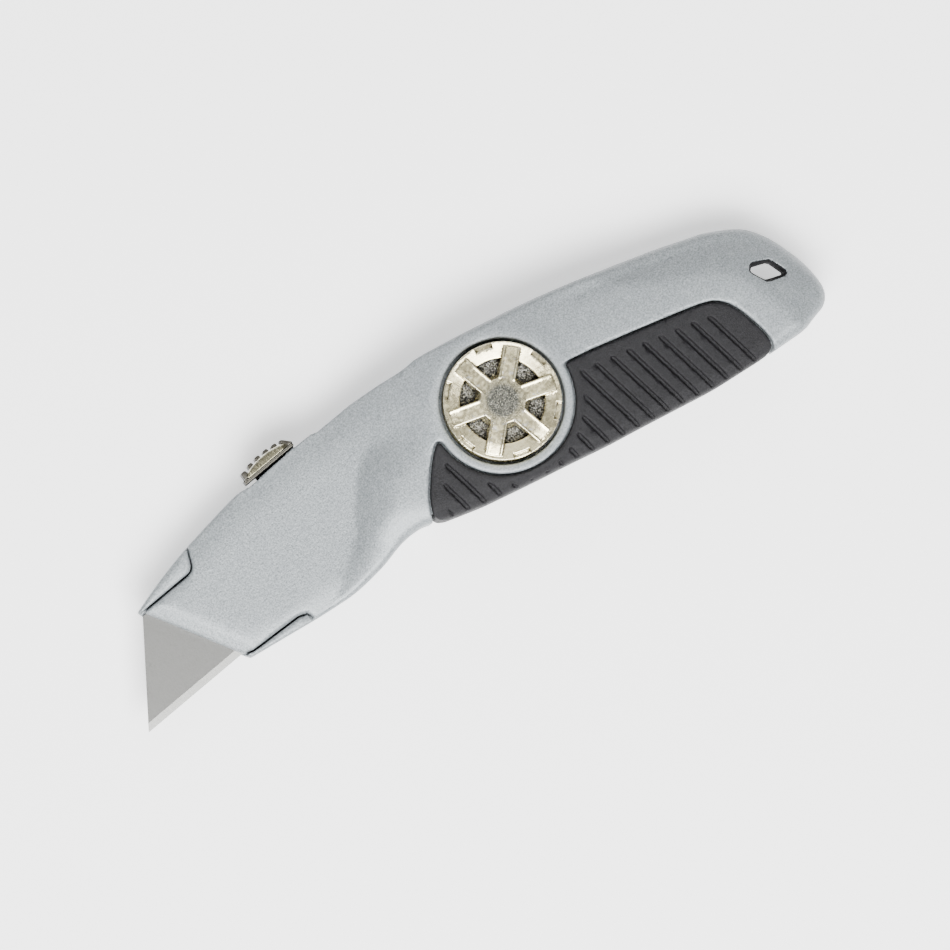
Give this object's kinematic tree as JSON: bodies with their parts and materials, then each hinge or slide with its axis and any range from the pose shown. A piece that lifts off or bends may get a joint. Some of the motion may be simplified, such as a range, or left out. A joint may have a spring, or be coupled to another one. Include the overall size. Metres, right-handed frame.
{
  "type": "retractable utility knife",
  "caption": "Retractable utility knife: two metal halves clamped by a spoked hand knob, thumb slide on the spine, trapezoid blade, rubber grips and a lanyard hole.",
  "frame": {"origin": "on the knob's axis, at the flat face of the rear boss that the knife rests on", "axes": "+X from the blade's tip to the tail, along the blade's travel; +Y towards the thumb slide on the spine; +Z out through the knob"},
  "size_m": [0.1659, 0.0528, 0.0218],
  "materials": {
    "painted_casting": "fine orange-peel paint, satin",
    "grip_rubber": "matt, finely textured",
    "knob_metal": "cast and plated, warm satin, granular in the recesses",
    "slide_metal": "cast and plated, satin",
    "blade_steel": "ground, with a brighter bevel",
    "hardware_steel": "zinc plated",
    "carrier_plastic": "glass-filled nylon",
    "magazine_plastic": "moulded acetal"
  },
  "bodies": {
    "rear_body": {"rear_shell": "painted_casting", "rear_grip": "grip_rubber", "captive_nut": "hardware_steel", "blade_magazine": "magazine_plastic", "magazine_spring": "hardware_steel", "spare_blade_1": "blade_steel", "spare_blade_2": "blade_steel", "spare_blade_3": "blade_steel", "spare_blade_4": "blade_steel", "spare_blade_5": "blade_steel"},
    "cover": {"front_shell": "painted_casting", "front_grip": "grip_rubber"},
    "knob_lift": {"knob_washer": "hardware_steel"},
    "knob": {"lock_knob": "knob_metal", "knob_screw": "hardware_steel", "retaining_clip": "hardware_steel"},
    "carriage": {"blade_carrier": "carrier_plastic", "blade_magnet": "hardware_steel", "blade": "blade_steel", "button_spring": "hardware_steel"},
    "button": {"slide_button": "slide_metal"}
  },
  "joints": [
    {"name": "cover_lift", "type": "slide", "parent": "rear_body", "child": "cover", "axis": [0, 0, 1], "range_m": [0, 0.03]},
    {"name": "knob_rise", "type": "slide", "parent": "cover", "child": "knob_lift", "axis": [0, 0, 1], "range_m": [0, 0.004]},
    {"name": "knob_turn", "type": "hinge", "parent": "knob_lift", "child": "knob", "pos_m": [0, 0, 0.0145], "axis": [0, 0, 1], "range_deg": [0, 1440]},
    {"name": "blade_slide", "type": "slide", "parent": "rear_body", "child": "carriage", "axis": [1, 0, 0], "range_m": [0, 0.0275]},
    {"name": "button_press", "type": "slide", "parent": "carriage", "child": "button", "axis": [0, -1, 0], "range_m": [0, 0.0008], "stiffness_N_per_m": 1500, "springref_m": -0.001, "deforming": ["button_spring"]}
  ],
  "couplings": [
    {"joint": "knob_rise", "follows": "knob_turn", "m_per_rad": 0.00015915}
  ]
}
